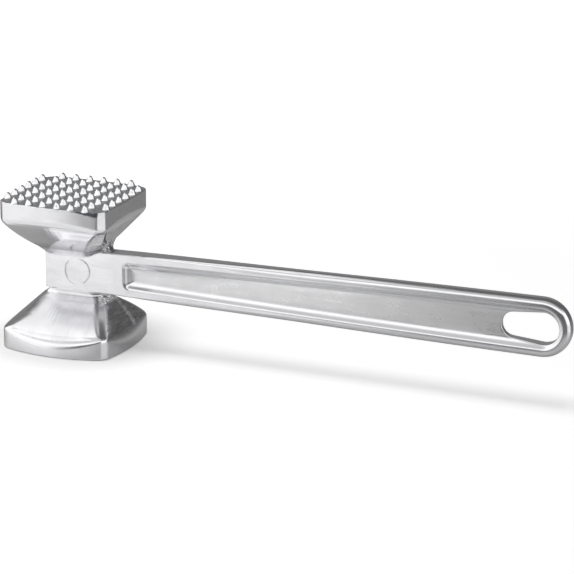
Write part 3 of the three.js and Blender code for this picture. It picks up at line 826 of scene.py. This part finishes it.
def makeFinish(name, look, isHead=False):
    material = bpy.data.materials.new(name)
    tree = emptyTree(material)
    place = addNode(tree, "ShaderNodeTexCoord").outputs["Object"]
    # on the slanted sides the streaks run down the slope
    normal = addNode(tree, "ShaderNodeNewGeometry").outputs["Normal"]
    upright = splitVector(tree, normal)[2]
    slanted = ramp(tree, maths(tree, "ABSOLUTE", upright), *skin["slanted"])
    ways = {0: slanted, 4: look["flat"], 5: look.get("slope", look["flat"])}
    stretch = addNode(tree, "ShaderNodeMix", ways, data_type="VECTOR").outputs[1]
    polish = addNode(tree, "ShaderNodeGroup", {
        "Place": place, "Stretch": stretch, "Streak Size": look["streakSize"],
        "Wave Size": look["waveSize"]}, node_tree=polishGroup).outputs
    spots = addNode(tree, "ShaderNodeGroup", {
        "Place": place, "Size": look["streakSize"] * skin["speckSize"],
        "Amount": look["specks"]}, node_tree=speckGroup).outputs["Specks"]
    dull = polish["Dullness"]
    share = maths(tree, "MAXIMUM", product(tree, dull, skin["dullShare"]), spots)
    tone = mixTone(tree, share, (*look["tone"], 1), (*look["darkTone"], 1))
    clearest, dullest = look["rough"]
    rough = timesPlus(tree, dull, dullest - clearest, clearest)
    rough = timesPlus(tree, spots, skin["speckRough"], rough)
    if isHead:
        tone, rough, nicksAndHighlight = addHandworkAndPaintedLight(tree, place, normal, upright, slanted, tone, rough)
    bumped = bump(tree, polish["Waves"], look["waveDepth"])
    depth, calm = look["streakDepth"], look.get("calm", 1)
    deep = timesPlus(tree, slanted, depth * (1 - calm), depth * calm)
    bumped = bump(tree, polish["Streaks"], deep, Normal=bumped)
    bumped = bump(tree, minus(tree, 1.0, spots), depth, Normal=bumped)
    if isHead:
        grain = noise(tree, place, handworkAndPaintedLight["nickSize"], 1.0)
        bumped = bump(tree, grain, product(tree, nicksAndHighlight, handworkAndPaintedLight["nickDepth"]), Normal=bumped)
    metal = addNode(tree, "ShaderNodeBsdfPrincipled", {
        "Base Color": tone, "Metallic": 1.0, "Roughness": rough, "Normal": bumped})
    addNode(tree, "ShaderNodeOutputMaterial", {"Surface": metal.outputs[0]})
    return material


headFinish = makeFinish("polishedHead", finishes["head"], isHead=True)
teethFinish = makeFinish("castTeeth", finishes["teeth"])
bedFinish = makeFinish("castBed", finishes["bed"])
handleFinish = makeFinish("polishedHandle", finishes["handle"])
webFinish = makeFinish("softWeb", finishes["web"])
print("finishes made")
toothField = makeTeeth(teethFinish)
print("teeth made", len(toothField.data.polygons))

for material in (headFinish, bedFinish):
    castHead.data.materials.append(material)
for face in castHead.data.polygons:
    if face.center.z > (upperHead["face"] - casting["bedBelow"]) * mm and face.normal.z > casting["bedUpright"]:
        face.material_index = 1
for material in (handleFinish, webFinish):
    handleFrame.data.materials.append(material)
for face in handleFrame.data.polygons:
    if abs(face.center.y) < handle["webFaces"] * mm and abs(face.normal.y) > 0.9:
        face.material_index = 1
handleWeb.data.materials.append(webFinish)

pieces = (
    (castHead, "polished_head", ("toothed_face", "upper_taper", "neck_block", "lower_taper", "smooth_face")),
    (toothField, "polished_head", ("toothed_face",)),
    (handleFrame, "polished_handle", ("handle_root", "handle_upper_rail", "handle_lower_rail", "hang_loop")),
    (handleWeb, "soft_web", ("handle_web",)),
)
for piece, slot, nodes in pieces:
    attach(piece, "root")
    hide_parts(*nodes)

# Camera, floor and lamps, in metres
view = {
    "place": (0.49195878, -0.98501193, 0.36815846), "right": (0.92956158, 0.3685611, 0.00883068),
    "up": (-0.11756893, 0.27365244, 0.95461609), "forward": (-0.34941781, 0.88841266, -0.29770813),
    "lens": 156.8, "sensor": 36.0,
}
stage = {
    "floorSize": 14.0, "floorTone": 0.85,
    # how bright the sheet looks to the camera: as white as the room away from the mallet
    "glows": (0.43, 0.8), "glowAcross": (0.2, 0.55), "middle": (0.1, 0, 0),
    # a painted contact shadow: less glow at the foot of the head
    "footAcross": (0.026, 0.062), "footShadowGlow": 0.55,
    # how bright the metal finds it, light and shade painted on the sheet for reflections only: under the head
    # and to its right, and in front of the head
    "sideTones": (0.44, 0.62), "sideAcross": (0.015, 0.035),
    "frontTones": (0.95, 0.16), "frontAcross": (0.08, 0.17), "frontAhead": (-0.04, -0.02),
    "metalGlows": (0.09, 0.04),
    # painted shade in the lee of the head, before its right corner, seen only in reflections
    "leeShade": 0.42, "leeAcross": (0.006, 0.03), "leeEnd": (0.04, 0.07), "leeAhead": (-0.08, -0.055),
    "leeNear": (-0.034, -0.022),
    "sheen": 3.4, "sheenIor": 1.5, "sheenMost": 0.7, "sheenRough": 0.12, "sheenNear": 0.4,
    "sheenAcross": (0.06, 0.13),
}


def makeCamera():
    data = bpy.data.cameras.new("photoView")
    data.lens = view["lens"]
    data.sensor_width = view["sensor"]
    data.clip_end = 50
    camera = newObject("photoView", data)
    axes = [Vector(view["right"]), Vector(view["up"]), -Vector(view["forward"])]
    turn = Matrix(axes).transposed().to_4x4()
    camera.matrix_world = Matrix.Translation(view["place"]) @ turn
    scene.camera = camera


def makeFloor():
    half = stage["floorSize"] / 2
    mesh = bpy.data.meshes.new("floor")
    corners = [(-half, -half, 0), (half, -half, 0), (half, half, 0), (-half, half, 0)]
    mesh.from_pydata(corners, [], [(0, 1, 2, 3)])
    floor = newObject("floor", mesh)
    material = bpy.data.materials.new("paleFloor")
    tree = emptyTree(material)
    path = addNode(tree, "ShaderNodeLightPath").outputs
    mirrored = maths(tree, "MAXIMUM", path["Is Glossy Ray"], path["Is Transmission Ray"])
    place = addNode(tree, "ShaderNodeTexCoord").outputs["Object"]
    side, ahead, _ = splitVector(tree, place)
    away = vectorMaths(tree, "LENGTH", place)
    # the sheet's tone in reflections: light and shade painted on it by place
    level = ramp(tree, side, *stage["sideAcross"], *stage["sideTones"])
    front = ramp(tree, ahead, *stage["frontAhead"])
    frontTone = ramp(tree, side, *stage["frontAcross"], *stage["frontTones"])
    level = timesPlus(tree, front, minus(tree, level, frontTone), frontTone)
    # painted shade on the sheet in the lee of the head, for reflections
    leeShade = product(
        tree, ramp(tree, side, *stage["leeAcross"]), ramp(tree, ahead, *stage["leeAhead"]),
        ramp(tree, side, *stage["leeEnd"], 1.0, 0.0), ramp(tree, ahead, *stage["leeNear"], 1.0, 0.0))
    level = product(tree, level, timesPlus(tree, leeShade, -stage["leeShade"], 1.0))
    level = minus(tree, level, stage["floorTone"])
    level = timesPlus(tree, mirrored, level, stage["floorTone"])
    tone = addNode(tree, "ShaderNodeCombineColor", {0: level, 1: level, 2: level}).outputs[0]
    matt = addNode(tree, "ShaderNodeBsdfDiffuse", {"Color": tone})
    far = vectorMaths(tree, "DISTANCE", place, stage["middle"])
    shine = ramp(tree, far, *stage["glowAcross"], *stage["glows"])
    # painted contact shadow: the sheet's glow is dimmed at the foot of the head, where hardly any light gets in
    shine = product(tree, shine, ramp(tree, away, *stage["footAcross"], stage["footShadowGlow"], 1.0))
    seen = product(tree, path["Is Camera Ray"], shine)
    # a painted glow on the sheet in front of the head, seen only in reflections
    near = ramp(tree, ahead, *stage["frontAhead"], *stage["metalGlows"])
    seen = timesPlus(tree, mirrored, near, seen)
    glow = addNode(tree, "ShaderNodeEmission", {"Strength": seen})
    both = addNode(tree, "ShaderNodeAddShader", {0: matt.outputs[0], 1: glow.outputs[0]})
    # the sheen of the pale sheet, seen at a low angle in the metal only
    sheen = addNode(tree, "ShaderNodeBsdfGlossy", {"Color": (1, 1, 1, 1), "Roughness": stage["sheenRough"]})
    low = addNode(tree, "ShaderNodeFresnel", {"IOR": stage["sheenIor"]}).outputs[0]
    low = maths(tree, "MINIMUM", product(tree, low, stage["sheen"]), stage["sheenMost"])
    clear = ramp(tree, away, *stage["sheenAcross"], stage["sheenNear"], 1.0)
    share = product(tree, path["Is Glossy Ray"], product(tree, low, clear))
    whole = addNode(tree, "ShaderNodeMixShader", {0: share, 1: both.outputs[0], 2: sheen.outputs[0]})
    addNode(tree, "ShaderNodeOutputMaterial", {"Surface": whole.outputs[0]})
    mesh.materials.append(material)


# Soft lamps: place, aim, width and height in metres, brightness of the face, seen in the metal or not
lamps = {
    "overhead": ((-0.6, -0.05, 0.85), (0, 0, 0.03), 0.7, 0.9, 0.86, True),
    "front": ((-0.5, -1.25, 0.42), (0.05, 0, 0.03), 1.3, 0.85, 0.9, False),
    "key": ((0.02, -0.05, 1.1), (0.05, 0, 0), 0.55, 0.55, 5.4, False),
}


def makeLamps():
    for name, (place, aim, width, height, bright, mirrored) in lamps.items():
        data = bpy.data.lights.new(name, "AREA")
        data.shape = "RECTANGLE"
        data.size = width
        data.size_y = height
        data.energy = bright * math.pi * width * height
        lamp = newObject(name, data)
        lamp.location = place
        lamp.rotation_euler = (Vector(aim) - Vector(place)).to_track_quat("-Z", "Y").to_euler()
        lamp.visible_glossy = mirrored


# The room: white to the camera. Reflections find pale walls on the left and on the right,
# and dark ones behind and where the camera stands. A wall is the way to its middle, its outer
# and its inner reach in degrees, and its brightness
room = {
    "fill": 0.2, "dark": 0.12, "above": 0.6, "aboveUp": (0.5, 0.8), "aboveBack": (-0.4, -0.06),
    "walls": ((-155, 50, 41, 1.08), (-12, 34, 16, 1.28), (113, 50, 15, 0.24)),
    # a lit panel in front, above the horizon, that draws the narrow highlights
    "panel": (-98, 78, 52, 1.25), "panelLow": (0.38, 0.48), "panelHigh": (0.68, 0.8),
}


def makeRoom():
    scene.world = bpy.data.worlds.new("room")
    tree = emptyTree(scene.world)
    path = addNode(tree, "ShaderNodeLightPath").outputs
    way = addNode(tree, "ShaderNodeTexCoord").outputs["Generated"]
    flat = vectorMaths(tree, "NORMALIZE", vectorMaths(tree, "MULTIPLY", way, (1, 1, 0)))
    _, back, height = splitVector(tree, way)

    def lobe(middle, outer, inner, bright):
        middle, outer, inner = (math.radians(angle) for angle in (middle, outer, inner))
        share = vectorMaths(tree, "DOT_PRODUCT", flat, (math.cos(middle), math.sin(middle), 0))
        return ramp(tree, share, math.cos(outer), math.cos(inner), 0.0, bright)

    tone = room["dark"]
    for wall in room["walls"]:
        tone = maths(tree, "MAXIMUM", lobe(*wall), tone)
    upper = ramp(tree, height, *room["aboveUp"])
    over = ramp(tree, back, *room["aboveBack"], room["above"], room["dark"])
    tone = timesPlus(tree, upper, minus(tree, over, tone), tone)
    edges = [ramp(tree, height, *room[name]) for name in ("panelLow", "panelHigh")]
    band = minus(tree, *edges)
    tone = maths(tree, "MAXIMUM", tone, product(tree, band, lobe(*room["panel"])))
    tone = minus(tree, tone, room["fill"])
    tone = timesPlus(tree, path["Is Glossy Ray"], tone, room["fill"])
    tone = timesPlus(tree, path["Is Camera Ray"], minus(tree, 1.0, tone), tone)
    shell = addNode(tree, "ShaderNodeBackground", {"Color": (1, 1, 1, 1), "Strength": tone})
    addNode(tree, "ShaderNodeOutputWorld", {"Surface": shell.outputs[0]})


makeCamera()
makeFloor()
makeLamps()
makeRoom()
print("stage made")
